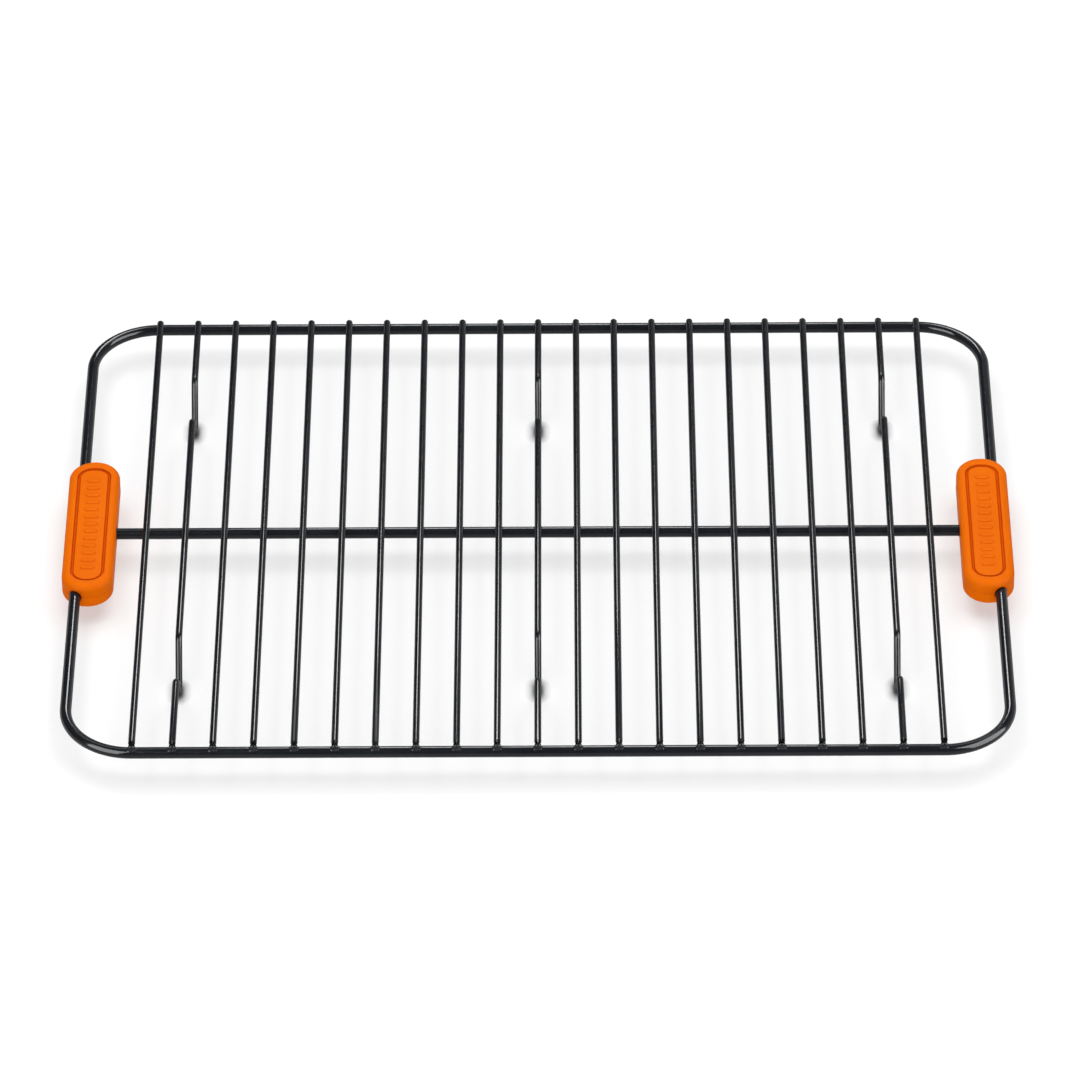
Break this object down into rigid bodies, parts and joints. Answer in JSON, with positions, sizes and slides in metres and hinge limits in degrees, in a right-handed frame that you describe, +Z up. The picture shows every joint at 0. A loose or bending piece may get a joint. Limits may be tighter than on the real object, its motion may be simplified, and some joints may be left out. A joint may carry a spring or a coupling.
{
  "type": "cooling rack",
  "caption": "Rectangular wire cooling rack: bent rod frame, centre rod, cross wires on top, three of them dipping into V-shaped feet, and a soft grip on each short side.",
  "frame": {"origin": "centre of the rack on the plane of the table, under its feet", "axes": "+X along the rack towards one grip, +Y towards the rear bar, +Z up"},
  "size_m": [0.42, 0.3092, 0.0209],
  "materials": {
    "coated_steel": "glossy non-stick coating",
    "silicone": "satin"
  },
  "bodies": {
    "root": {"frame_rod": "coated_steel", "centre_rod": "coated_steel", "cross_wire_01": "coated_steel", "cross_wire_03": "coated_steel", "cross_wire_04": "coated_steel", "cross_wire_05": "coated_steel", "cross_wire_06": "coated_steel", "cross_wire_07": "coated_steel", "cross_wire_08": "coated_steel", "cross_wire_09": "coated_steel", "cross_wire_10": "coated_steel", "cross_wire_12": "coated_steel", "cross_wire_13": "coated_steel", "cross_wire_14": "coated_steel", "cross_wire_15": "coated_steel", "cross_wire_16": "coated_steel", "cross_wire_17": "coated_steel", "cross_wire_18": "coated_steel", "cross_wire_19": "coated_steel", "cross_wire_21": "coated_steel", "foot_wire_left": "coated_steel", "foot_wire_centre": "coated_steel", "foot_wire_right": "coated_steel", "welds_front": "coated_steel", "welds_centre": "coated_steel", "welds_rear": "coated_steel", "welds_rod_ends": "coated_steel", "grip_left_upper": "silicone", "grip_left_lower": "silicone", "grip_right_upper": "silicone", "grip_right_lower": "silicone"}
  },
  "joints": []
}
